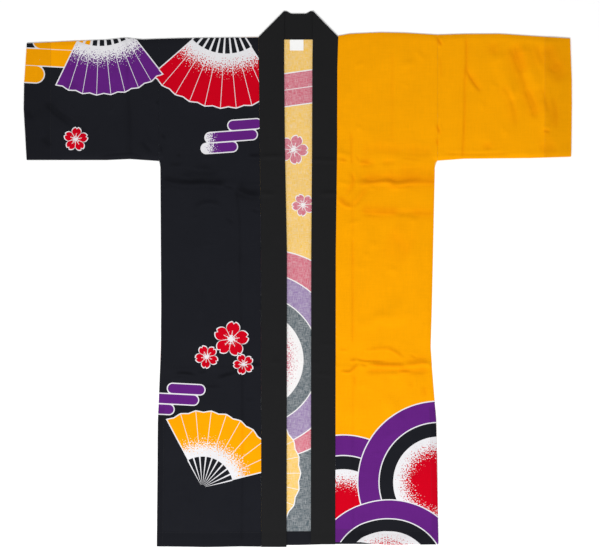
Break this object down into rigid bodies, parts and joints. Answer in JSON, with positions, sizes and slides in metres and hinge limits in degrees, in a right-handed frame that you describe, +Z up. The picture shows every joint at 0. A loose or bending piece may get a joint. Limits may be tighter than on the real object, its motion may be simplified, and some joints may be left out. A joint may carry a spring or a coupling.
{
  "type": "happi coat",
  "caption": "Long open-fronted cotton coat with straight wide sleeves and a band collar, laid flat with its front up.",
  "frame": {"origin": "middle of the laid-out coat's box, on the surface it lies on", "axes": "+X from cuff to cuff towards the wearer's left sleeve, +Y along the coat from hem to neck, +Z up off the surface out of the coat's front"},
  "size_m": [1.2348, 1.208, 0.0072],
  "materials": {
    "printed_cotton_body": "matt plain-weave cotton, printed black on one side of the front and amber on the other",
    "printed_cotton_black_sleeve": "matt plain-weave cotton printed black with coloured motifs",
    "printed_cotton_amber_sleeve": "matt plain-weave cotton printed amber",
    "black_cotton_collar": "matt black cotton, folded double and stitched",
    "white_label_tape": "bare white woven tape"
  },
  "bodies": {
    "root": {"body": "printed_cotton_body", "sleeve_right": "printed_cotton_black_sleeve", "sleeve_left": "printed_cotton_amber_sleeve", "collar": "black_cotton_collar", "label": "white_label_tape"}
  },
  "joints": []
}
